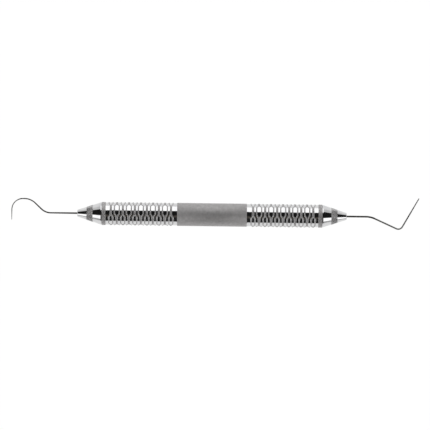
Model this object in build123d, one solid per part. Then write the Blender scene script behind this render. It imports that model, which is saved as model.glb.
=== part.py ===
"""Double-ended dental hand instrument: hollow handle, two screw-in cones, hook explorer, graduated probe.

Millimetres. +X runs along the handle towards the probe, +Y points to the side that the hook rises to,
+Z up. The origin is on the handle's axis, halfway along it. The working ends lie in the XY plane.
"""
import math
import os

from build123d import *

# Handle tube and its two patterned grips
HANDLE_D = 10.0
HANDLE_LENGTH = 95.5
HANDLE_WALL = 0.85
BAND_LENGTH = 30.2
COLLAR_WIDTH = 1.6
COLLAR_EDGE = 0.1
WAVE_HEIGHT = 0.15
WAVE_WIDTH = 1.3
WAVE_PITCH = 2.6
GRIP_MARGIN = 2.4

# End plugs pressed into the tube, and the screw thread in them
PLUG_DEPTH = 10.0
PLUG_BACK_CHAMFER = 0.4
THREAD_D = 5.0
THREAD_PITCH = 0.8
THREAD_DEPTH_SHARE = 0.625
THREAD_CLEARANCE = 0.04
CORE_CLEARANCE = 0.1
THREAD_EMBED = 0.06

# Cones with their threaded studs
CONE_LENGTH = 10.67
CONE_STEP = 0.15
CONE_RIM = 0.45
CONE_NOSE_D = 2.95
NOSE_FILLET = 0.3
KNURL_START = 3.95
KNURL_WIDTH = 2.64
KNURL_PROUD_BASE = 0.1
KNURL_PROUD_NOSE = 0.05
NECK_BEYOND_SEAT = 0.6
STUD_THREAD = 6.0
STUD_LEAD = 0.5
SHANK_DEPTH = 7.0

# Round seal that the stud's neck carries, in a seat in the plug
SEAL_SECTION_D = 1.0
SEAL_CLEARANCE = 0.05
SEAT_CLEARANCE = 0.18

# Explorer: corners of the wire's centreline, bend radii, and diameters at its corners
EXPLORER_SHANK = 13.87
EXPLORER_RISE = 6.02
EXPLORER_SLOPE_DEG = 43.3
EXPLORER_HOOK_REACH = 8.15
EXPLORER_TIP_DROP = 9.2
EXPLORER_BENDS = [6.0, 6.8, 4.8]
EXPLORER_DIAMETERS = [0.80, 0.62, 0.54, 0.48, 0.25]

# Probe: lengths between corners, turns, bend radii, diameters at its corners
PROBE_SHANK = 10.38
PROBE_SLOPE_LENGTH = 14.14
PROBE_SLOPE_DEG = 24.15
PROBE_TURN_DEG = 84.35
PROBE_BLADE = 16.15
PROBE_BENDS = [9.0, 2.1]
PROBE_DIAMETERS = [0.80, 0.76, 0.72, 0.45]
PROBE_END_FILLET = 0.18

# Rings etched into the probe, at distances from its tip
MARKS = [1, 2, 3, 5, 7, 8, 9, 10]
MARK_WIDTH = 0.3
MARK_DEPTH = 0.02

# Worked out from the sizes above
VALLEY_D = HANDLE_D - 2 * WAVE_HEIGHT
BORE_D = VALLEY_D - 2 * HANDLE_WALL
CONE_BASE_D = HANDLE_D - 2 * CONE_STEP
HALF = HANDLE_LENGTH / 2
TUBE_HALF = HALF - COLLAR_WIDTH
GRIP_LENGTH = TUBE_HALF - BAND_LENGTH / 2
GRIP_WAVES = int((GRIP_LENGTH - 2 * GRIP_MARGIN) / WAVE_PITCH) + 1
PLUG_BACK = HALF - COLLAR_WIDTH - PLUG_DEPTH
THREAD_ROOT_R = THREAD_D / 2 - THREAD_DEPTH_SHARE * THREAD_PITCH * math.sqrt(3) / 2
STUD_CREST_R = THREAD_D / 2 - 2 * THREAD_CLEARANCE
STUD_CORE_R = THREAD_ROOT_R - CORE_CLEARANCE
NOSE_X = HALF + CONE_LENGTH
SEAL_CENTRE_R = STUD_CORE_R + SEAL_CLEARANCE + SEAL_SECTION_D / 2
SEAL_SEAT_D = 2 * SEAL_CENTRE_R + SEAL_SECTION_D + 2 * SEAT_CLEARANCE
SEAL_SEAT_DEPTH = SEAL_SECTION_D + 2 * SEAL_CLEARANCE
STUD_NECK = SEAL_SEAT_DEPTH + NECK_BEYOND_SEAT
CONE_SLOPE = (CONE_BASE_D - CONE_NOSE_D) / 2 / (CONE_LENGTH - CONE_RIM)


def turned(points):
    """A solid turned about X from an outline of (x, radius) points that starts and ends on one radius."""
    outline = make_face(Polyline(*points, close=True))
    return revolve(outline, axis=Axis.X)


def ring(x0, x1, inner_r, outer_r):
    """A plain ring about X from x0 to x1."""
    return turned([(x0, inner_r), (x1, inner_r), (x1, outer_r), (x0, outer_r)])


def thread_width(radius, clearance):
    """Axial width of a 60 degree thread at a radius, with its flanks set back by the clearance."""
    full = THREAD_PITCH / 8 + 2 * (THREAD_D / 2 - radius) * math.tan(math.radians(30))
    return full - 2 * clearance / math.cos(math.radians(30))


def thread_ridge(start_x, length, core_r, crest_r, clearance):
    """The right-hand thread's helical ridge about X, in phase with every other ridge of this pitch."""
    base_r = core_r - THREAD_EMBED
    half_base = thread_width(base_r, clearance) / 2
    half_crest = thread_width(crest_r, clearance) / 2
    section = Plane.XZ * Polyline(
        (base_r, -half_base), (crest_r, -half_crest), (crest_r, half_crest), (base_r, half_base), close=True
    )
    path = Helix(pitch=THREAD_PITCH, height=length, radius=base_r)
    ridge = sweep(make_face(section), path=path, is_frenet=True)
    phase = 360 * start_x / THREAD_PITCH
    return Pos(start_x, 0, 0) * Rot(phase, 0, 0) * Rot(0, 90, 0) * ridge


def handle_tube():
    """The hollow tube with its raised waves on both grips and its plain centre band."""
    tube = ring(-TUBE_HALF, TUBE_HALF, BORE_D / 2, VALLEY_D / 2)
    tube += ring(-BAND_LENGTH / 2, BAND_LENGTH / 2, BORE_D / 2, HANDLE_D / 2)
    middle = BAND_LENGTH / 2 + GRIP_LENGTH / 2
    for side in (-1, 1):
        for number in range(GRIP_WAVES):
            x = side * middle + (number - (GRIP_WAVES - 1) / 2) * WAVE_PITCH
            tube += ring(x - WAVE_WIDTH / 2, x + WAVE_WIDTH / 2, BORE_D / 2, HANDLE_D / 2)
    return tube


def end_plug():
    """The flanged plug at the +X end: its flange is the handle's collar, and its bore is threaded."""
    spigot_r = BORE_D / 2
    body = turned([
        (PLUG_BACK, 0),
        (PLUG_BACK, spigot_r - PLUG_BACK_CHAMFER),
        (PLUG_BACK + PLUG_BACK_CHAMFER, spigot_r),
        (TUBE_HALF, spigot_r),
        (TUBE_HALF, HANDLE_D / 2 - COLLAR_EDGE),
        (TUBE_HALF + COLLAR_EDGE, HANDLE_D / 2),
        (HALF - COLLAR_EDGE, HANDLE_D / 2),
        (HALF, HANDLE_D / 2 - COLLAR_EDGE),
        (HALF, 0),
    ])
    tap_start = PLUG_BACK - THREAD_PITCH
    tap_length = HALF - SEAL_SEAT_DEPTH / 2 - tap_start
    bore = ring(PLUG_BACK, HALF, 0, THREAD_ROOT_R)
    groove = thread_ridge(tap_start, tap_length, THREAD_ROOT_R, THREAD_D / 2, 0)
    seat = ring(HALF - SEAL_SEAT_DEPTH, HALF, 0, SEAL_SEAT_D / 2)
    return body - (bore + groove) - seat


def stud():
    """The cone's stud at the +X end: a plain neck for the seal, then the thread with a lead-in chamfer."""
    neck_end = HALF - STUD_NECK
    tip = neck_end - STUD_THREAD
    core = ring(tip, HALF, 0, STUD_CORE_R)
    threaded = core + thread_ridge(tip, STUD_THREAD - THREAD_PITCH / 2, STUD_CORE_R, STUD_CREST_R, THREAD_CLEARANCE)
    envelope = turned([
        (tip, 0),
        (tip, STUD_CREST_R - STUD_LEAD),
        (tip + STUD_LEAD, STUD_CREST_R),
        (neck_end, STUD_CREST_R + THREAD_CLEARANCE),
        (HALF, STUD_CREST_R + THREAD_CLEARANCE),
        (HALF, 0),
    ])
    return threaded & envelope


def cone_radius(distance):
    """The bare cone's radius at a distance from its seat on the handle."""
    return CONE_BASE_D / 2 - CONE_SLOPE * (distance - CONE_RIM)


def cone(shank_d):
    """The cone at the +X end with its knurled band, its stud, and a blind bore for a shank."""
    knurl_end = KNURL_START + KNURL_WIDTH
    body = turned([
        (HALF, 0),
        (HALF, CONE_BASE_D / 2),
        (HALF + CONE_RIM, CONE_BASE_D / 2),
        (HALF + KNURL_START, cone_radius(KNURL_START)),
        (HALF + KNURL_START, cone_radius(KNURL_START) + KNURL_PROUD_BASE),
        (HALF + knurl_end, cone_radius(knurl_end) + KNURL_PROUD_NOSE),
        (HALF + knurl_end, cone_radius(knurl_end)),
        (NOSE_X, CONE_NOSE_D / 2),
        (NOSE_X, 0),
    ])
    nose_edge = body.edges().filter_by(GeomType.CIRCLE).sort_by(Axis.X)[-1]
    body = fillet(nose_edge, NOSE_FILLET)
    return body + stud() - ring(NOSE_X - SHANK_DEPTH, NOSE_X, 0, shank_d / 2)


def seal():
    """The round seal on the +X stud's neck, in the plug's seat and clear of it and of the cone."""
    x = HALF - SEAL_CLEARANCE - SEAL_SECTION_D / 2
    section = Plane.XY * Pos(x, SEAL_CENTRE_R) * Circle(SEAL_SECTION_D / 2)
    return revolve(section, axis=Axis.X)


def bent_wire(corners, bends, diameters):
    """A round wire along straight runs that taper from corner to corner, with an even bend at each corner."""
    path = FilletPolyline(*corners, radius=bends)
    wire = None
    run = 0
    for edge in path.edges().sort_by(path):
        start = Plane(origin=edge @ 0, z_dir=edge % 0)
        if edge.geom_type == GeomType.LINE:
            piece = Solid.make_cone(diameters[run] / 2, diameters[run + 1] / 2, edge.length, start)
            run += 1
        else:
            piece = sweep(start * Circle(diameters[run] / 2), path=edge)
        wire = piece if wire is None else wire + piece
    return wire


def explorer():
    """The hook explorer's wire, built from its seat inside the -X cone out to its point."""
    x = -NOSE_X - EXPLORER_SHANK
    slope_run = EXPLORER_RISE / math.tan(math.radians(EXPLORER_SLOPE_DEG))
    hook_x = x - slope_run - EXPLORER_HOOK_REACH
    corners = [
        (SHANK_DEPTH - NOSE_X, 0),
        (x, 0),
        (x - slope_run, EXPLORER_RISE),
        (hook_x, EXPLORER_RISE),
        (hook_x, EXPLORER_RISE - EXPLORER_TIP_DROP),
    ]
    return bent_wire(corners, EXPLORER_BENDS, EXPLORER_DIAMETERS)


def probe():
    """The graduated probe's wire from its seat inside the +X cone to its rounded end, with etched rings."""
    slope = math.radians(-PROBE_SLOPE_DEG)
    blade = math.radians(PROBE_TURN_DEG - PROBE_SLOPE_DEG)
    bend = Vector(NOSE_X + PROBE_SHANK, 0)
    heel = bend + Vector(math.cos(slope), math.sin(slope)) * PROBE_SLOPE_LENGTH
    along = Vector(math.cos(blade), math.sin(blade))
    tip = heel + along * PROBE_BLADE
    corners = [(NOSE_X - SHANK_DEPTH, 0), (bend.X, bend.Y), (heel.X, heel.Y), (tip.X, tip.Y)]
    wire = bent_wire(corners, PROBE_BENDS, PROBE_DIAMETERS)
    wire = fillet(wire.edges().filter_by(GeomType.CIRCLE).sort_by_distance(tip)[0], PROBE_END_FILLET)
    taper = (PROBE_DIAMETERS[-2] - PROBE_DIAMETERS[-1]) / 2 / PROBE_BLADE
    for mark in MARKS:
        outer_r = PROBE_DIAMETERS[-1] / 2 + taper * mark
        near = Plane(origin=tip - along * (mark - MARK_WIDTH / 2), z_dir=-along)
        etched = near * (Circle(outer_r + MARK_WIDTH) - Circle(outer_r - MARK_DEPTH))
        wire -= extrude(etched, amount=MARK_WIDTH)
    return wire


def at_explorer_end(solid):
    """Turns a piece made for the +X end about Z, to the -X end."""
    return Rot(0, 0, 180) * solid


def named_pieces():
    """Every piece by its node's name."""
    plug = end_plug()
    seal_ring = seal()
    return {
        "handle_tube": handle_tube(),
        "explorer_plug": at_explorer_end(plug),
        "probe_plug": plug,
        "explorer_seal": at_explorer_end(seal_ring),
        "probe_seal": seal_ring,
        "explorer_cone": at_explorer_end(cone(EXPLORER_DIAMETERS[0])),
        "probe_cone": cone(PROBE_DIAMETERS[0]),
        "explorer_tip": explorer(),
        "probe_tip": probe(),
    }


os.makedirs("parts", exist_ok=True)
for name, piece in named_pieces().items():
    export_step(piece, f"parts/{name}.step")
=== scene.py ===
"""The looks of a double-ended dental explorer and probe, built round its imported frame.

The handle's grips, the two knurled cones and the two working ends are meshed here at their real detail.
The end plugs and the round seals are the frame's own pieces with their finishes.
"""
import logging
import math
from dataclasses import dataclass, field
from enum import Enum, IntEnum

import bmesh
import bpy
import numpy as np
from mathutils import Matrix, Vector


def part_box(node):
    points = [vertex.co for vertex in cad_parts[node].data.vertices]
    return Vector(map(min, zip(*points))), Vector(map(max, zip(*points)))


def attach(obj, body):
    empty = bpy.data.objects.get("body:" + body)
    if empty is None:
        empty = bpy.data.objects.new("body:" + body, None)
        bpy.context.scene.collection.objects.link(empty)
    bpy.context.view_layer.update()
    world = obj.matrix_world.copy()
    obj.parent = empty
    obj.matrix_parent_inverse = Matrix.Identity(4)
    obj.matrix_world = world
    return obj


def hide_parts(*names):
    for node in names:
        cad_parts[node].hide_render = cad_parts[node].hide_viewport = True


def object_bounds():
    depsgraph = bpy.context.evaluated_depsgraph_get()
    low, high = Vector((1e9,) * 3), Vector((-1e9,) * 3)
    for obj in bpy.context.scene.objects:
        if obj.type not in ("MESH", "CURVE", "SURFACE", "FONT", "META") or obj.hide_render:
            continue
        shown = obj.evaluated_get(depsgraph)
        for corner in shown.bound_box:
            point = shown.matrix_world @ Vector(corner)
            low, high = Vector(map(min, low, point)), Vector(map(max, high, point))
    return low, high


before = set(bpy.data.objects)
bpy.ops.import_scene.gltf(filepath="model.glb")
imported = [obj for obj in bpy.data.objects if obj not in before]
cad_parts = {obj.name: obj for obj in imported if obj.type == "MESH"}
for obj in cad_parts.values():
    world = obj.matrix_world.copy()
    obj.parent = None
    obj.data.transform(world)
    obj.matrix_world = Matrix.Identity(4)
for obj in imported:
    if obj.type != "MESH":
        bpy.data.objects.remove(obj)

CAD_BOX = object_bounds()
MM = 0.001
TURN = 2 * math.pi
# Points closer than this, in metres, are one point.
WELD = 1e-7
# Edges up to this many degrees are shaded smooth.
CREASE_ANGLE = 32.0
# The fall of a 60 degree thread's flank over its run.
FLANK_FALL = math.sqrt(3)
# A flat end is drawn in to this share of its radius before it is capped.
CENTRE_SHARE = 0.05
# Nearly all of a noise's values lie in this range.
NOISE_SPAN = (0.3, 0.7)

log = logging.getLogger("instrument")


class End(Enum):
    """The end of the handle that a piece belongs to, by the sign of its X."""

    EXPLORER = -1
    PROBE = 1

    @property
    def label(self) -> str:
        """The end's name, as the frame's nodes spell it."""
        return self.name.lower()

    def node(self, piece: str) -> str:
        """The frame node of one of this end's pieces."""
        return f"{self.label}_{piece}"


class Closing(Enum):
    """How a skin's first and last rings are closed."""

    CAPPED = "one face on each"
    LOOPED = "joined to each other"


class Steel(IntEnum):
    """The two finishes of the handle and the cones, in the order of their material slots."""

    POLISHED = 0
    TEXTURED = 1


class WirePart(IntEnum):
    """The finishes of a working end, in the order of its material slots."""

    SHANK = 0
    MARK = 1
    GROUND = 2


# ---------------------------------------------------------------- finishes


@dataclass(frozen=True)
class Grain:
    """A noise: the size of one blotch, its finer layers, and how tightly it repeats along each axis."""

    size_mm: float
    layers: float = 2.0
    stretch: tuple = (1, 1, 1)


class Graph:
    """A material's node tree, with short calls that add and join nodes."""

    def __init__(self, name: str) -> None:
        """Starts a material with a Principled shader.

        Args:
            name: the material's name.
        """
        self.material = bpy.data.materials.new(name)
        self.material.use_nodes = True
        self.tree = self.material.node_tree
        self.shader = self.tree.nodes["Principled BSDF"]
        self.place = self.tree.nodes.new("ShaderNodeTexCoord").outputs["Object"]

    def set(self, **values: float | tuple) -> None:
        """Sets the shader's own sockets, with underscores for the spaces in their names."""
        for name, value in values.items():
            self.shader.inputs[name.replace("_", " ")].default_value = value

    def noise(self, grain: Grain) -> bpy.types.NodeSocket:
        """Adds a noise of a real size.

        Args:
            grain: the noise's size, layers and stretch.

        Returns:
            The noise's value, from 0 to 1.
        """
        mapping = self.tree.nodes.new("ShaderNodeMapping")
        mapping.inputs["Scale"].default_value = [s / (grain.size_mm * MM) for s in grain.stretch]
        noise = self.tree.nodes.new("ShaderNodeTexNoise")
        noise.inputs["Scale"].default_value = 1.0
        noise.inputs["Detail"].default_value = grain.layers
        self.tree.links.new(self.place, mapping.inputs["Vector"])
        self.tree.links.new(mapping.outputs["Vector"], noise.inputs["Vector"])
        return noise.outputs["Fac"]

    def between(self, value: bpy.types.NodeSocket, low: float, high: float) -> bpy.types.NodeSocket:
        """Spreads the middle of a noise's range over low to high.

        Args:
            value: the noise's value.
            low: the result at the bottom of that range.
            high: the result at its top.

        Returns:
            The spread value, which doesn't pass low or high.
        """
        spread = self.tree.nodes.new("ShaderNodeMapRange")
        spread.inputs["From Min"].default_value, spread.inputs["From Max"].default_value = NOISE_SPAN
        spread.inputs["To Min"].default_value = low
        spread.inputs["To Max"].default_value = high
        self.tree.links.new(value, spread.inputs["Value"])
        return spread.outputs["Result"]

    def tint(self, value: bpy.types.NodeSocket, dark: tuple, light: tuple) -> None:
        """Colours the surface between two tones by a noise.

        Args:
            value: the noise's value.
            dark: the tone at the bottom of its range.
            light: the tone at the top.
        """
        ramp = self.tree.nodes.new("ShaderNodeValToRGB")
        for element, position, tone in zip(ramp.color_ramp.elements, NOISE_SPAN, (dark, light)):
            element.position = position
            element.color = (*tone, 1)
        self.tree.links.new(value, ramp.inputs["Fac"])
        self.tree.links.new(ramp.outputs["Color"], self.shader.inputs["Base Color"])

    def rough(self, value: bpy.types.NodeSocket) -> None:
        """Drives the surface's roughness."""
        self.tree.links.new(value, self.shader.inputs["Roughness"])

    def bump(self, value: bpy.types.NodeSocket, height_mm: float) -> None:
        """Raises the surface by a value.

        Args:
            value: the height, from 0 to 1.
            height_mm: what a value of 1 stands for.
        """
        bump = self.tree.nodes.new("ShaderNodeBump")
        bump.inputs["Strength"].default_value = 1.0
        bump.inputs["Distance"].default_value = height_mm * MM
        self.tree.links.new(value, bump.inputs["Height"])
        self.tree.links.new(bump.outputs["Normal"], self.shader.inputs["Normal"])


@dataclass(frozen=True)
class Finish:
    """A surface whose tone, gloss and relief each follow a noise of their own."""

    name: str
    dark: tuple
    light: tuple
    roughness: tuple
    tone: Grain
    gloss: Grain
    relief: Grain
    relief_mm: float
    metallic: float = 0.0

    def material(self) -> bpy.types.Material:
        """Builds the finish.

        Returns:
            Its material.
        """
        graph = Graph(self.name)
        graph.set(Metallic=self.metallic)
        graph.tint(graph.noise(self.tone), self.dark, self.light)
        graph.rough(graph.between(graph.noise(self.gloss), *self.roughness))
        graph.bump(graph.noise(self.relief), self.relief_mm)
        return graph.material


@dataclass(frozen=True)
class PolishedSteel(Finish):
    """Mirror-polished stainless steel with the faint rings that buffing on a lathe leaves."""

    name: str = "polished_steel"
    dark: tuple = (0.60, 0.60, 0.61)
    light: tuple = (0.69, 0.69, 0.69)
    roughness: tuple = (0.05, 0.12)
    tone: Grain = Grain(2.5, 3.0, (1, 0.6, 0.6))
    gloss: Grain = Grain(2.5 / 3, 3.0, (2, 0.4, 0.4))
    relief: Grain = Grain(0.12, 1.0, (1, 0.02, 0.02))
    relief_mm: float = 0.0006
    metallic: float = 1.0


@dataclass(frozen=True)
class BlastedSteel(Finish):
    """Bead-blasted stainless steel: an even grey with a fine grain and faint handling marks."""

    name: str = "blasted_steel"
    dark: tuple = (0.38, 0.37, 0.37)
    light: tuple = (0.48, 0.47, 0.47)
    roughness: tuple = (0.52, 0.66)
    tone: Grain = Grain(1.1, 6.0)
    gloss: Grain = Grain(0.64, 4.0)
    relief: Grain = Grain(0.16)
    relief_mm: float = 0.012
    metallic: float = 0.6


@dataclass(frozen=True)
class CutSteel(Finish):
    """Stainless steel as the knurling wheel leaves it, duller than the polished cone beside it."""

    name: str = "cut_steel"
    dark: tuple = (0.30, 0.30, 0.30)
    light: tuple = (0.50, 0.49, 0.49)
    roughness: tuple = (0.2, 0.34)
    tone: Grain = Grain(0.35, 4.0)
    gloss: Grain = Grain(0.2, 3.0)
    relief: Grain = Grain(0.1)
    relief_mm: float = 0.003
    metallic: float = 0.9


@dataclass(frozen=True)
class WireSteel(Finish):
    """Hardened wire with a dark tone and fine scratches."""

    name: str = "wire_steel"
    dark: tuple = (0.05, 0.048, 0.045)
    light: tuple = (0.10, 0.096, 0.09)
    roughness: tuple = (0.24, 0.36)
    tone: Grain = Grain(0.9, 4.0)
    gloss: Grain = Grain(0.4, 3.0)
    relief: Grain = Grain(0.06)
    relief_mm: float = 0.0012
    metallic: float = 1.0


@dataclass(frozen=True)
class LighterWire(WireSteel):
    """The same wire, lighter and glossier, from a given station to its point."""

    name: str = "ground_wire"
    dark: tuple = (0.24, 0.24, 0.23)
    light: tuple = (0.37, 0.37, 0.36)
    roughness: tuple = (0.14, 0.26)


@dataclass(frozen=True)
class MarkFill(Finish):
    """The matt black fill of the probe's etched rings, a little worn."""

    name: str = "mark_black"
    dark: tuple = (0.012, 0.012, 0.013)
    light: tuple = (0.045, 0.043, 0.042)
    roughness: tuple = (0.5, 0.7)
    tone: Grain = Grain(0.15, 4.0)
    gloss: Grain = Grain(0.1)
    relief: Grain = Grain(0.05)
    relief_mm: float = 0.003


@dataclass(frozen=True)
class SealRubber(Finish):
    """Smooth black silicone rubber with the faint bloom that steam leaves on it."""

    name: str = "seal_rubber"
    dark: tuple = (0.012, 0.012, 0.013)
    light: tuple = (0.04, 0.04, 0.042)
    roughness: tuple = (0.38, 0.55)
    tone: Grain = Grain(0.8, 4.0)
    gloss: Grain = Grain(0.3, 3.0)
    relief: Grain = Grain(0.12)
    relief_mm: float = 0.004


@dataclass(frozen=True)
class Finishes:
    """Every finish's material, built once and shared by the pieces."""

    polished: bpy.types.Material
    blasted: bpy.types.Material
    cut: bpy.types.Material
    wire: bpy.types.Material
    ground: bpy.types.Material
    mark: bpy.types.Material
    rubber: bpy.types.Material

    @classmethod
    def build(cls) -> "Finishes":
        """Builds them all.

        Returns:
            The set of materials.
        """
        return cls(
            polished=PolishedSteel().material(),
            blasted=BlastedSteel().material(),
            cut=CutSteel().material(),
            wire=WireSteel().material(),
            ground=LighterWire().material(),
            mark=MarkFill().material(),
            rubber=SealRubber().material(),
        )


# ---------------------------------------------------------------- mesh building


@dataclass
class Skin:
    """A closed skin made of rings of points, each joined to the next by a strip with a finish of its own."""

    columns: int
    rings: list = field(default_factory=list)
    strips: list = field(default_factory=list)

    @property
    def angles(self) -> np.ndarray:
        """Each column's angle about +X, by the right-hand rule, from straight down."""
        return np.arange(self.columns) * TURN / self.columns

    def turn(self, x: float | np.ndarray, radius: float | np.ndarray, strip: int = 0) -> None:
        """Adds a ring about the X axis.

        Args:
            x: the ring's place along the axis, for all columns or for each.
            radius: its radius, for all columns or for each.
            strip: the finish of the strip between the ring before and this one.
        """
        angles = self.angles
        spread = np.ones(self.columns)
        radii = radius * spread
        self.add(np.column_stack([x * spread, radii * np.sin(angles), -radii * np.cos(angles)]), strip)

    def add(self, points: np.ndarray, strip: int = 0) -> None:
        """Adds a ring of points, one for each column."""
        self.rings.append(np.asarray(points, float))
        self.strips.append(strip)

    def faces(self, closing: Closing) -> tuple[list, list]:
        """Joins the rings.

        Args:
            closing: how the first and last rings are closed.

        Returns:
            The faces, as vertex numbers, and each face's strip finish.
        """
        count, columns = len(self.rings), self.columns
        points = np.concatenate(self.rings)
        steps = [(i, i + 1, self.strips[i + 1]) for i in range(count - 1)]
        if closing is Closing.LOOPED:
            steps.append((count - 1, 0, self.strips[0]))
        faces, finishes = [], []
        here = np.arange(columns)
        after = (here + 1) % columns
        for low, high, finish in steps:
            a, b = low * columns + here, low * columns + after
            c, d = high * columns + after, high * columns + here
            # Each quad is cut along its shorter diagonal.
            one = np.linalg.norm(points[a] - points[c], axis=1)
            other = np.linalg.norm(points[b] - points[d], axis=1)
            by_ac = one <= other
            first = np.where(by_ac[:, None], np.column_stack([a, b, c]), np.column_stack([a, b, d]))
            second = np.where(by_ac[:, None], np.column_stack([a, c, d]), np.column_stack([b, c, d]))
            faces += first.tolist() + second.tolist()
            finishes += [finish] * (2 * columns)
        if closing is Closing.CAPPED:
            faces += [list(range(columns))[::-1], [(count - 1) * columns + i for i in range(columns)]]
            finishes += [self.strips[0], self.strips[-1]]
        return faces, finishes

    def piece(
        self, name: str, materials: list, closing: Closing = Closing.CAPPED, smooth_to: float = CREASE_ANGLE
    ) -> bpy.types.Object:
        """Makes the skin into a Blender object.

        Args:
            name: the object's name.
            materials: the materials that the strips' finish numbers count.
            closing: how the first and last rings are closed.
            smooth_to: the sharpest edge, in degrees, that is shaded smooth.

        Returns:
            The object, linked to the scene.
        """
        faces, finishes = self.faces(closing)
        mesh = bpy.data.meshes.new(name)
        mesh.from_pydata(np.concatenate(self.rings).tolist(), [], faces)
        for material in materials:
            mesh.materials.append(material)
        mesh.polygons.foreach_set("material_index", finishes)
        weld_and_orient(mesh)
        mesh.shade_smooth()
        mesh.set_sharp_from_angle(angle=math.radians(smooth_to))
        piece = bpy.data.objects.new(name, mesh)
        bpy.context.scene.collection.objects.link(piece)
        log.info("%s: %d faces", name, len(mesh.polygons))
        return piece


def weld_and_orient(mesh: bpy.types.Mesh) -> None:
    """Welds points that coincide, drops what that flattens, and turns every face outwards.

    Args:
        mesh: the mesh that is changed.
    """
    work = bmesh.new()
    work.from_mesh(mesh)
    bmesh.ops.remove_doubles(work, verts=work.verts, dist=WELD)
    bmesh.ops.dissolve_degenerate(work, edges=work.edges, dist=WELD)
    bmesh.ops.recalc_face_normals(work, faces=work.faces)
    work.to_mesh(mesh)
    work.free()


def mirrored_end(piece: bpy.types.Object, end: End) -> bpy.types.Object:
    """Turns a piece that was made for the +X end to its own end, half a turn about Z.

    Args:
        piece: the piece, whose mesh is changed.
        end: the end that it belongs to.

    Returns:
        The same piece.
    """
    if end is End.EXPLORER:
        for vertex in piece.data.vertices:
            vertex.co.x, vertex.co.y = -vertex.co.x, -vertex.co.y
    return piece


def eased(share: np.ndarray) -> np.ndarray:
    """A share from 0 to 1, eased so that it starts and ends level."""
    return share * share * (3 - 2 * share)


# ---------------------------------------------------------------- the handle


@dataclass
class Handle:
    """The hollow tube: two polished grips under pairs of winding ridges, and a blasted centre band.

    The two ridges of a pair meet at waves places round the tube and part between them. Their spread is even
    up to met_until and from parted_from, in degrees from such a place. The first of each two values is for
    even pairs and the second for odd ones. A ridge's profile gives its height, as a share, at a distance in
    millimetres from its middle.
    """

    finishes: Finishes
    wall: float = 0.85 * MM
    ridge_height: float = 0.15 * MM
    band_half: float = 15.1 * MM
    band_edge: float = 0.06 * MM
    pair_pitch: float = 2.6 * MM
    pairs: int = 11
    pattern_shift: float = 0.15 * MM
    waves: int = 3
    met: float = 0.20 * MM
    parted: tuple = (0.86 * MM, 1.07 * MM)
    meet_angles: tuple = (22.0, 82.0)
    met_until: float = 23.0
    parted_from: float = 42.0
    ridge_profile: tuple = (
        (0.15, 1.0), (0.19, 0.82), (0.215, 0.5), (0.24, 0.24), (0.28, 0.08), (0.34, 0.0),
    )
    blasted_rings: int = 3
    smooth_to: float = 60.0
    columns: int = 180

    def __post_init__(self) -> None:
        """Takes the tube's length and diameter from the frame."""
        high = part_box("handle_tube")[1]
        self.half = high.x
        self.outer = high.z
        self.valley = self.outer - self.ridge_height
        self.bore = self.valley - self.wall
        self.offsets = [offset * MM for offset, _ in self.ridge_profile]
        self.heights = [height * self.ridge_height for _, height in self.ridge_profile]

    def spread(self, skin: Skin, number: int) -> np.ndarray:
        """How far each ridge of a pair stands from the pair's middle, for each column.

        Args:
            skin: the skin whose columns are asked for.
            number: the pair's number along its grip. Every second pair is turned by half a wave.

        Returns:
            The distances, least where the two ridges meet.
        """
        around = math.pi - skin.angles - math.radians(self.meet_angles[number % 2])
        swing = 1 - np.cos(self.waves * around)
        first, last = (1 - math.cos(math.radians(self.waves * a)) for a in (self.met_until, self.parted_from))
        share = eased(np.clip((swing - first) / (last - first), 0, 1))
        return self.met + (self.parted[number % 2] - self.met) * share

    def add_pair(self, skin: Skin, middle: float, number: int) -> None:
        """Adds the rings of one pair of ridges, from its -X side to its +X side.

        Args:
            skin: the skin to add to.
            middle: the pair's middle along the axis.
            number: the pair's number along its grip.
        """
        spread = self.spread(skin, number)
        at_middle = np.interp(spread, self.offsets, self.heights)
        rows = []
        for offset, height in reversed(list(zip(self.offsets, self.heights))):
            rows.append((-spread - offset, height * np.ones(self.columns)))
        for offset, height in zip(self.offsets, self.heights):
            run_together = offset > spread
            place = np.where(run_together, 0.0, offset - spread)
            rows.append((place, np.where(run_together, at_middle, height)))
        rows += [(-place, height) for place, height in reversed(rows)]
        count, crown = len(self.offsets), self.blasted_rings
        for index, (place, height) in enumerate(rows):
            blasted = count - crown < index % (2 * count) < count + crown
            strip = Steel.TEXTURED if blasted else Steel.POLISHED
            skin.turn(middle + place, self.valley + height, strip)

    def add_band(self, skin: Skin) -> None:
        """Adds the centre band, whose edges are broken.

        Args:
            skin: the skin to add to.
        """
        half, edge = self.band_half, self.band_edge
        skin.turn(-half, self.valley)
        skin.turn(-half, self.outer - edge, Steel.TEXTURED)
        skin.turn(-half + edge, self.outer, Steel.TEXTURED)
        skin.turn(half - edge, self.outer, Steel.TEXTURED)
        skin.turn(half, self.outer - edge, Steel.TEXTURED)
        skin.turn(half, self.valley, Steel.TEXTURED)

    def build(self) -> bpy.types.Object:
        """Builds the tube and puts it in its place.

        Returns:
            The tube, riding on the handle.
        """
        skin = Skin(self.columns)
        edge = self.band_edge
        grip_middle = (self.band_half + self.half) / 2 + self.pattern_shift
        skin.turn(-self.half, self.bore)
        skin.turn(-self.half, self.valley - edge)
        skin.turn(-self.half + edge, self.valley)
        skin.turn(-self.half + 2 * edge, self.valley)
        for side in (-1, 1):
            for number in range(self.pairs):
                offset = (number - (self.pairs - 1) / 2) * self.pair_pitch
                self.add_pair(skin, side * grip_middle + offset, number)
            if side < 0:
                self.add_band(skin)
        skin.turn(self.half - 2 * edge, self.valley)
        skin.turn(self.half - edge, self.valley)
        skin.turn(self.half, self.valley - edge)
        skin.turn(self.half, self.bore)
        finishes = [self.finishes.polished, self.finishes.blasted]
        tube = skin.piece("handle_grips", finishes, Closing.LOOPED, self.smooth_to)
        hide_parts("handle_tube")
        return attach(tube, "handle")


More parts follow.
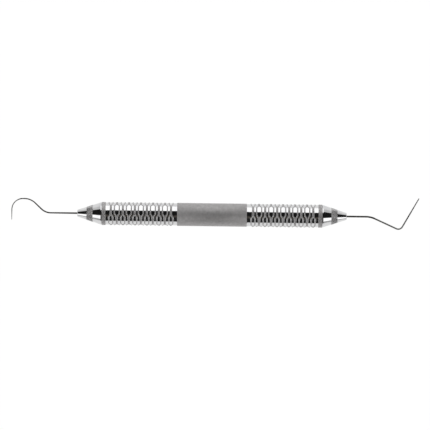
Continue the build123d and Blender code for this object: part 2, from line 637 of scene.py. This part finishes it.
# ---------------------------------------------------------------- the cones


@dataclass
class Cone:
    """A polished cone with a cut diamond knurl, and the threaded stud that screws into the handle.

    Distances along the cone are from its seat on the plug. A support is a ring that stands close beside an
    edge and keeps the shading flat up to it. The knurl stands proud by its first value at the handle's side
    and by its second at the nose's. A tooth's flanks are flat_gain times too steep to meet, which leaves a
    small flat on top.
    """

    finishes: Finishes
    end: End
    rim: float = 0.45 * MM
    rim_edge: float = 0.08 * MM
    support: float = 0.05 * MM
    nose_radius: float = 1.475 * MM
    nose_fillet: float = 0.3 * MM
    nose_steps: int = 8
    knurl_start: float = 3.95 * MM
    knurl_width: float = 2.64 * MM
    knurl_proud: tuple = (0.10 * MM, 0.05 * MM)
    knurl_depth: float = 0.22 * MM
    knurl_teeth: int = 26
    knurl_pitch: float = 0.88 * MM
    knurl_steps: int = 24
    flat_gain: float = 1.1
    bore_depth: float = 7.0 * MM
    bore_radius: float = 0.41 * MM
    bore_edge: float = 0.06 * MM
    thread_pitch: float = 0.8 * MM
    thread_crest: float = 2.42 * MM
    crest_half: float = 0.05 * MM
    thread_core: float = 1.967 * MM
    thread_length: float = 6.0 * MM
    neck: float = 1.7 * MM
    lead: float = 0.5 * MM
    thread_steps: int = 14
    columns: int = 208

    def __post_init__(self) -> None:
        """Takes the cone's seat, nose and base radius from the frame."""
        low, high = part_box(self.end.node("cone"))
        plug_low, plug_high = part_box(self.end.node("plug"))
        self.seat = max(abs(plug_low.x), abs(plug_high.x))
        self.nose = max(abs(low.x), abs(high.x))
        self.base_radius = high.z
        self.slope = (self.base_radius - self.nose_radius) / (self.nose - self.seat - self.rim)

    def radius(self, distance: float) -> float:
        """The bare cone's radius at a distance from its seat."""
        return self.base_radius - self.slope * (distance - self.rim)

    def add_nose(self, skin: Skin) -> None:
        """Adds the shank's bore and the rounded nose, out to the cone's small end.

        Args:
            skin: the skin to add to.
        """
        bottom = self.nose - self.bore_depth
        skin.turn(bottom, self.bore_radius * CENTRE_SHARE)
        skin.turn(bottom, self.bore_radius)
        skin.turn(self.nose - self.bore_edge, self.bore_radius)
        skin.turn(self.nose, self.bore_radius + self.bore_edge)
        reach = math.pi / 2 - math.atan(self.slope)
        centre = self.nose_radius - self.nose_fillet * math.tan(reach / 2)
        for step in range(self.nose_steps + 1):
            angle = reach * step / self.nose_steps
            x = self.nose - self.nose_fillet * (1 - math.cos(angle))
            skin.turn(x, centre + self.nose_fillet * math.sin(angle))
        beside = self.nose - self.seat - self.nose_fillet
        skin.turn(self.seat + beside, self.radius(beside))

    def add_knurl(self, skin: Skin) -> None:
        """Adds the knurled band, from its nose side to its handle side.

        Args:
            skin: the skin to add to.
        """
        end = self.knurl_start + self.knurl_width
        proud_base, proud_nose = self.knurl_proud
        skin.turn(self.seat + end + self.support, self.radius(end + self.support))
        skin.turn(self.seat + end, self.radius(end))
        for step in range(self.knurl_steps + 1):
            share = step / self.knurl_steps
            distance = end - share * self.knurl_width
            crest = self.radius(distance) + proud_nose + share * (proud_base - proud_nose)
            tooth = self.knurl_teeth * skin.angles / TURN
            along = (distance - self.knurl_start) / self.knurl_pitch
            to_groove = np.minimum(self.from_whole(tooth + along), self.from_whole(tooth - along))
            cut = self.knurl_depth * (1 - np.minimum(to_groove * self.flat_gain, 1))
            skin.turn(self.seat + distance, crest - cut, Steel.TEXTURED)
        start = self.knurl_start
        skin.turn(self.seat + start, self.radius(start), Steel.TEXTURED)
        skin.turn(self.seat + start - self.support, self.radius(start - self.support))

    @staticmethod
    def from_whole(value: np.ndarray) -> np.ndarray:
        """How far a value is from the nearest whole number, from 0 to 1."""
        return 2 * np.abs(value - np.round(value))

    def add_stud(self, skin: Skin) -> None:
        """Adds the seat face, the neck and the thread with its lead-in chamfer.

        Args:
            skin: the skin to add to.
        """
        skin.turn(self.seat + self.rim + self.support, self.radius(self.rim + self.support))
        skin.turn(self.seat + self.rim - self.support, self.base_radius)
        skin.turn(self.seat + self.rim_edge + self.support, self.base_radius)
        skin.turn(self.seat + self.rim_edge, self.base_radius)
        skin.turn(self.seat, self.base_radius - self.rim_edge)
        skin.turn(self.seat, self.thread_core)
        top = self.seat - self.neck
        tip = top - self.thread_length
        steps = round(self.thread_length / self.thread_pitch * self.thread_steps)
        for step in range(steps + 1):
            x = top - self.thread_length * step / steps
            turns = x / self.thread_pitch - skin.angles / TURN
            off_crest = self.thread_pitch * self.from_whole(turns) / 2
            flank = self.thread_crest - (off_crest - self.crest_half) * FLANK_FALL
            thread = np.clip(flank, self.thread_core, self.thread_crest)
            fade = min(1.0, (top - x) / (self.thread_pitch / 2))
            lead_in = self.thread_crest - self.lead + (x - tip)
            thread = self.thread_core + (thread - self.thread_core) * fade
            skin.turn(x, np.minimum(thread, lead_in))
        skin.turn(tip, self.thread_core * CENTRE_SHARE)

    def build(self) -> bpy.types.Object:
        """Builds the cone and puts it in its place.

        Returns:
            The cone, riding on its end's head.
        """
        skin = Skin(self.columns)
        self.add_nose(skin)
        self.add_knurl(skin)
        self.add_stud(skin)
        finishes = [self.finishes.polished, self.finishes.cut]
        piece = mirrored_end(skin.piece(f"{self.end.label}_knurled_cone", finishes), self.end)
        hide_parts(self.end.node("cone"))
        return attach(piece, f"{self.end.label}_head")


# ---------------------------------------------------------------- the working ends


@dataclass
class Wire:
    """A round wire in the XY plane: straight tapered runs, with an even bend at each corner.

    There is one bend for each inner corner, and one radius for each corner. The last ring of the rounded end
    stops end_gap of a step short of the point.
    """

    corners: list
    bends: list
    radii: list
    columns: int = 40
    bend_steps: int = 26
    end_steps: int = 7
    end_gap: float = 0.25

    def stations(self) -> list:
        """Walks the wire.

        Returns:
            For the start and end of each run and for each step of a bend: the point, the direction
            and the radius.
        """
        corners = [Vector(c) for c in self.corners]
        directions = [(b - a).normalized() for a, b in zip(corners, corners[1:])]
        found = [(corners[0], directions[0], self.radii[0])]
        for number, bend in enumerate(self.bends):
            before, after = directions[number], directions[number + 1]
            turn = math.atan2(before.x * after.y - before.y * after.x, before.dot(after))
            side = Vector((-before.y, before.x)) * math.copysign(1, turn)
            start = corners[number + 1] - before * (bend * math.tan(abs(turn) / 2))
            centre = start + side * bend
            for step in range(self.bend_steps + 1):
                angle = turn * step / self.bend_steps
                point = centre + self.rotated(start - centre, angle)
                found.append((point, self.rotated(before, angle), self.radii[number + 1]))
        found.append((corners[-1], directions[-1], self.radii[-1]))
        return found

    @staticmethod
    def rotated(vector: Vector, angle: float) -> Vector:
        """A vector of the XY plane, turned by an angle."""
        cosine, sine = math.cos(angle), math.sin(angle)
        return Vector((vector.x * cosine - vector.y * sine, vector.x * sine + vector.y * cosine))

    def ring(self, skin: Skin, point: Vector, direction: Vector, radius: float, strip: int) -> None:
        """Adds a ring square to the wire.

        Args:
            skin: the skin to add to.
            point: the ring's centre.
            direction: the way that the wire runs there.
            radius: the ring's radius.
            strip: the finish of the strip between the ring before and this one.
        """
        side = np.array([-direction.y, direction.x, 0.0])
        up = np.array([0.0, 0.0, 1.0])
        around = np.cos(skin.angles)[:, None] * side + np.sin(skin.angles)[:, None] * up
        skin.add(np.array([point.x, point.y, 0.0]) + radius * around, strip)

    def skin(self, collars: list, ground_from: int) -> Skin:
        """Builds the wire's skin with a rounded end.

        Args:
            collars: rings cut into the last run, as (from, to, depth), by distance from the wire's end.
            ground_from: the station from which the wire takes its lighter tone.

        Returns:
            The skin, whose finishes are those of WirePart.
        """
        skin = Skin(self.columns)
        stations = self.stations()
        for number, (point, direction, radius) in enumerate(stations[:-1]):
            # From this station on, the wire takes its lighter tone.
            strip = WirePart.GROUND if number > ground_from else WirePart.SHANK
            self.ring(skin, point, direction, radius, strip)
        start, direction, start_radius = stations[-2]
        end, _, end_radius = stations[-1]
        length = (end - start).length
        for far, near, depth in sorted(collars, reverse=True):
            walls = (
                (far, 0, WirePart.GROUND),
                (far, depth, WirePart.MARK),
                (near, depth, WirePart.MARK),
                (near, 0, WirePart.MARK),
            )
            for distance, cut, strip in walls:
                radius = end_radius + (start_radius - end_radius) * distance / length
                self.ring(skin, end - direction * distance, direction, radius - cut, strip)
        for step in range(self.end_steps + 1):
            angle = math.pi / 2 * step / (self.end_steps + self.end_gap)
            point = end - direction * (end_radius * (1 - math.sin(angle)))
            self.ring(skin, point, direction, end_radius * math.cos(angle), WirePart.GROUND)
        return skin


@dataclass
class Explorer:
    """The explorer: a straight shank, a rising slope, and a hook that comes down to a fine point.

    Its wire takes its lighter tone from station ground_from on.
    """

    finishes: Finishes
    seat_depth: float = 7.0 * MM
    shank: float = 13.87 * MM
    slope_deg: float = 43.3
    bends: tuple = (6.0 * MM, 6.8 * MM, 4.8 * MM)
    radii: tuple = (0.40 * MM, 0.31 * MM, 0.27 * MM, 0.24 * MM, 0.125 * MM)
    ground_from: int = 62

    def corners(self) -> list:
        """Works out the corners of the wire's centreline from the frame's boxes.

        Returns:
            The corners, from inside the cone to the point.
        """
        low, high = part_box("explorer_tip")
        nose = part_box("explorer_cone")[0].x
        rise = high.y - self.radii[3]
        hook = low.x + self.radii[3]
        first = nose - self.shank
        second = first - rise / math.tan(math.radians(self.slope_deg))
        return [(nose + self.seat_depth, 0), (first, 0), (second, rise), (hook, rise), (hook, low.y)]

    def build(self) -> bpy.types.Object:
        """Builds the explorer and puts it in its place.

        Returns:
            The explorer, riding on its head.
        """
        wire = Wire(self.corners(), list(self.bends), list(self.radii))
        finishes = [self.finishes.wire, self.finishes.mark, self.finishes.ground]
        piece = wire.skin([], self.ground_from).piece("explorer_hook", finishes)
        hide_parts("explorer_tip")
        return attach(piece, "explorer_head")


@dataclass
class Probe:
    """Its wire takes its lighter tone from station ground_from on.

    Its ground end starts at station ground_from of its wire.
    """

    finishes: Finishes
    seat_depth: float = 7.0 * MM
    shank: float = 10.38 * MM
    slope_length: float = 14.14 * MM
    slope_deg: float = 24.15
    turn_deg: float = 84.35
    blade: float = 16.15 * MM
    bends: tuple = (9.0 * MM, 2.1 * MM)
    radii: tuple = (0.40 * MM, 0.38 * MM, 0.36 * MM, 0.225 * MM)
    marks: tuple = (1, 2, 3, 5, 7, 8, 9, 10)
    mark_width: float = 0.60 * MM
    ground_from: int = 27
    mark_depth: float = 0.012 * MM

    def corners(self) -> list:
        """Works out the corners of the wire's centreline from the cone's nose in the frame.

        Returns:
            The corners, from inside the cone to the tip.
        """
        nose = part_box("probe_cone")[1].x
        down, up = math.radians(-self.slope_deg), math.radians(self.turn_deg - self.slope_deg)
        first = Vector((nose + self.shank, 0))
        heel = first + Vector((math.cos(down), math.sin(down))) * self.slope_length
        tip = heel + Vector((math.cos(up), math.sin(up))) * self.blade
        return [(nose - self.seat_depth, 0), first[:], heel[:], tip[:]]

    def build(self) -> bpy.types.Object:
        """Builds the probe and puts it in its place.

        Returns:
            The probe, riding on its head.
        """
        half = self.mark_width / 2
        collars = [(mark * MM + half, mark * MM - half, self.mark_depth) for mark in self.marks]
        wire = Wire(self.corners(), list(self.bends), list(self.radii))
        finishes = [self.finishes.wire, self.finishes.mark, self.finishes.ground]
        piece = wire.skin(collars, self.ground_from).piece("probe_end", finishes)
        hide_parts("probe_tip")
        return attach(piece, "probe_head")


@dataclass
class FrameFittings:
    """The end plugs and the round seals, which keep the frame's own shapes."""

    finishes: Finishes

    def dress(self) -> None:
        """Gives each of them its finish."""
        for end in End:
            self.paint(end.node("plug"), self.finishes.blasted, "satin_steel")
            self.paint(end.node("seal"), self.finishes.rubber, "seal_rubber")

    @staticmethod
    def paint(node: str, material: bpy.types.Material, slot: str) -> None:
        """Gives one frame node a material.

        Args:
            node: the frame node.
            material: its material.
            slot: not used.
        """
        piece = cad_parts[node]
        piece.data.materials.clear()
        piece.data.materials.append(material)
        log.info("%s: %s", node, material.name)


# ---------------------------------------------------------------- the studio


@dataclass(frozen=True)
class Stripe:
    """One stripe of the tent, between two angles from straight up, positive towards +Y."""

    start_deg: float
    end_deg: float
    glow: float
    warmth: float = 0.0

    @property
    def colour(self) -> tuple:
        """The stripe's colour, redder and less blue by its warmth."""
        return (self.glow * (1 + self.warmth), self.glow, self.glow * (1 - self.warmth), 1)


@dataclass
class Tent:
    """The soft white tent round the table: its stripes run along X, and its two ends have their own.

    A span gives the direction's part along an axis, from 0 to 1, over which one area fades into the next.
    """

    middle: tuple = (
        Stripe(-180, -83, 0.95),
        Stripe(-80, -32, 0.02),
        Stripe(-30, -10, 0.075, 0.12),
        Stripe(-8, 33, 0.012),
        Stripe(38, 94, 0.95),
        Stripe(98, 180, 0.95),
    )
    ends: tuple = (
        Stripe(-180, -88, 0.95),
        Stripe(-86, -63, 0.45),
        Stripe(-60, -23, 1.6),
        Stripe(-20, 47, 0.012),
        Stripe(50, 94, 0.75),
        Stripe(98, 180, 0.95),
    )
    gable_glow: float = 0.85
    ends_span: tuple = (0.34, 0.42)
    gable_span: tuple = (0.68, 0.80)
    horizon_glow: float = 0.95
    horizon_span: tuple = (0.10, 0.16)

    def build(self) -> bpy.types.World:
        """Builds the tent.

        Returns:
            The world that holds it.
        """
        world = bpy.data.worlds.new("tent")
        world.use_nodes = True
        self.tree = world.node_tree
        place = self.tree.nodes.new("ShaderNodeTexCoord").outputs["Generated"]
        split = self.tree.nodes.new("ShaderNodeSeparateXYZ")
        self.tree.links.new(place, split.inputs["Vector"])
        x, y, z = (split.outputs[axis] for axis in "XYZ")
        angle = self.calculate("ARCTAN2", y, z)
        share = self.calculate("MULTIPLY_ADD", angle, 1 / TURN, 0.5)
        along = self.calculate("ABSOLUTE", x)
        middle, ends = self.stripes(share, self.middle), self.stripes(share, self.ends)
        colour = self.mix(self.step(along, self.ends_span), middle, ends)
        colour = self.mix(self.step(along, self.gable_span), colour, self.grey(self.gable_glow))
        colour = self.mix(self.step(z, self.horizon_span), self.grey(self.horizon_glow), colour)
        background = self.tree.nodes["Background"]
        self.tree.links.new(colour, background.inputs["Color"])
        return world

    def calculate(self, operation: str, *values: bpy.types.NodeSocket | float) -> bpy.types.NodeSocket:
        """Adds a calculation with sockets and numbers.

        Args:
            operation: what is calculated, as the Math node names it.
            values: what it is calculated from.

        Returns:
            The result.
        """
        node = self.tree.nodes.new("ShaderNodeMath")
        node.operation = operation
        for socket, value in zip(node.inputs, values):
            if isinstance(value, bpy.types.NodeSocket):
                self.tree.links.new(value, socket)
            else:
                socket.default_value = value
        return node.outputs["Value"]

    def grey(self, glow: float) -> bpy.types.NodeSocket:
        """Adds an even grey.

        Args:
            glow: how bright it is.

        Returns:
            Its colour.
        """
        node = self.tree.nodes.new("ShaderNodeRGB")
        node.outputs[0].default_value = (glow, glow, glow, 1)
        return node.outputs[0]

    def step(self, value: bpy.types.NodeSocket, span: tuple) -> bpy.types.NodeSocket:
        """Rises from 0 to 1 over a span of a value.

        Args:
            value: the value.
            span: where it starts and ends.

        Returns:
            The share.
        """
        node = self.tree.nodes.new("ShaderNodeMapRange")
        node.interpolation_type = "SMOOTHSTEP"
        node.inputs["From Min"].default_value, node.inputs["From Max"].default_value = span
        self.tree.links.new(value, node.inputs["Value"])
        return node.outputs["Result"]

    def stripes(self, share: bpy.types.NodeSocket, stripes: tuple) -> bpy.types.NodeSocket:
        """Paints a set of stripes, soft between one and the next.

        Args:
            share: the place in the turn round the tent, from 0 to 1, with straight up at a half.
            stripes: the stripes, in order.

        Returns:
            Their colour.
        """
        node = self.tree.nodes.new("ShaderNodeValToRGB")
        ramp = node.color_ramp
        edges = [(deg, stripe) for stripe in stripes for deg in (stripe.start_deg, stripe.end_deg)]
        stops = [(deg / 360 + 0.5, stripe.colour) for deg, stripe in edges]
        ramp.elements[0].position, ramp.elements[0].color = stops[0]
        ramp.elements[1].position, ramp.elements[1].color = stops[-1]
        for position, colour in stops[1:-1]:
            ramp.elements.new(position).color = colour
        self.tree.links.new(share, node.inputs["Fac"])
        return node.outputs["Color"]

    def mix(
        self, share: bpy.types.NodeSocket, first: bpy.types.NodeSocket, second: bpy.types.NodeSocket
    ) -> bpy.types.NodeSocket:
        """Mixes two colours.

        Args:
            share: how much of the second colour there is.
            first: the first colour.
            second: the second colour.

        Returns:
            The mixed colour.
        """
        node = self.tree.nodes.new("ShaderNodeMix")
        node.data_type = "RGBA"
        sockets = {socket.identifier: socket for socket in (*node.inputs, *node.outputs)}
        for value, name in ((share, "Factor_Float"), (first, "A_Color"), (second, "B_Color")):
            self.tree.links.new(value, sockets[name])
        return sockets["Result_Color"]


@dataclass
class Studio:
    """A pale floor that glows evenly, a camera straight above, and soft light from a tent and a softbox.

    The camera stands camera_height above the handle's axis and takes in picture_width there. The softbox
    stands softbox_deg from straight up, towards +Y.
    """

    floor_size: float = 6.0
    floor_glow: float = 1.0
    floor_tone: float = 0.02
    camera_height: float = 1.5
    picture_width: float = 186.5 * MM
    sensor: float = 36.0
    aim: tuple = (1.30 * MM, -0.07 * MM)
    roll_deg: float = 0.716
    clip: tuple = (0.01, 20)
    softbox_deg: float = 61.0
    softbox_distance: float = 2.5
    softbox_size: tuple = (1.7, 2.5)
    softbox_glow: float = 0.65

    def build(self) -> None:
        """Builds the whole studio."""
        self.floor()
        self.camera()
        self.softbox()
        bpy.context.scene.world = Tent().build()
        bpy.context.scene.view_settings.view_transform = "Standard"

    def floor(self) -> None:
        """Lays the floor under the handle."""
        low = CAD_BOX[0][2]
        half = self.floor_size / 2
        corners = [(-half, -half, low), (half, -half, low), (half, half, low), (-half, half, low)]
        mesh = bpy.data.meshes.new("floor")
        mesh.from_pydata(corners, [], [(0, 1, 2, 3)])
        graph = Graph("floor_white")
        tone = self.floor_tone
        graph.set(Base_Color=(tone, tone, tone, 1), Roughness=1.0, Emission_Color=(1, 1, 1, 1))
        graph.set(Emission_Strength=self.floor_glow, Specular_IOR_Level=0.0)
        mesh.materials.append(graph.material)
        floor = bpy.data.objects.new("floor", mesh)
        bpy.context.scene.collection.objects.link(floor)

    def camera(self) -> None:
        """Sets the camera straight above the instrument."""
        data = bpy.data.cameras.new("camera")
        data.sensor_width = self.sensor
        data.lens = self.sensor * self.camera_height / self.picture_width
        data.clip_start, data.clip_end = self.clip
        camera = bpy.data.objects.new("camera", data)
        camera.location = (*self.aim, self.camera_height)
        camera.rotation_euler = (0, 0, math.radians(self.roll_deg))
        bpy.context.scene.collection.objects.link(camera)
        bpy.context.scene.camera = camera

    def softbox(self) -> None:
        """Hangs the long softbox on the +Y side, facing the instrument."""
        data = bpy.data.lights.new("softbox", "AREA")
        data.shape = "RECTANGLE"
        data.size, data.size_y = self.softbox_size
        data.energy = self.softbox_glow * math.pi * data.size * data.size_y
        tilt = math.radians(self.softbox_deg)
        light = bpy.data.objects.new("softbox", data)
        light.location = Vector((0, math.sin(tilt), math.cos(tilt))) * self.softbox_distance
        light.rotation_euler = (-tilt, 0, 0)
        bpy.context.scene.collection.objects.link(light)


def main() -> None:
    """Builds the studio and every piece of the instrument."""
    logging.basicConfig(level=logging.INFO, format="%(name)s: %(message)s")
    Studio().build()
    finishes = Finishes.build()
    Handle(finishes).build()
    for end in End:
        Cone(finishes, end).build()
    Explorer(finishes).build()
    Probe(finishes).build()
    FrameFittings(finishes).dress()


if __name__ == "__main__":
    main()
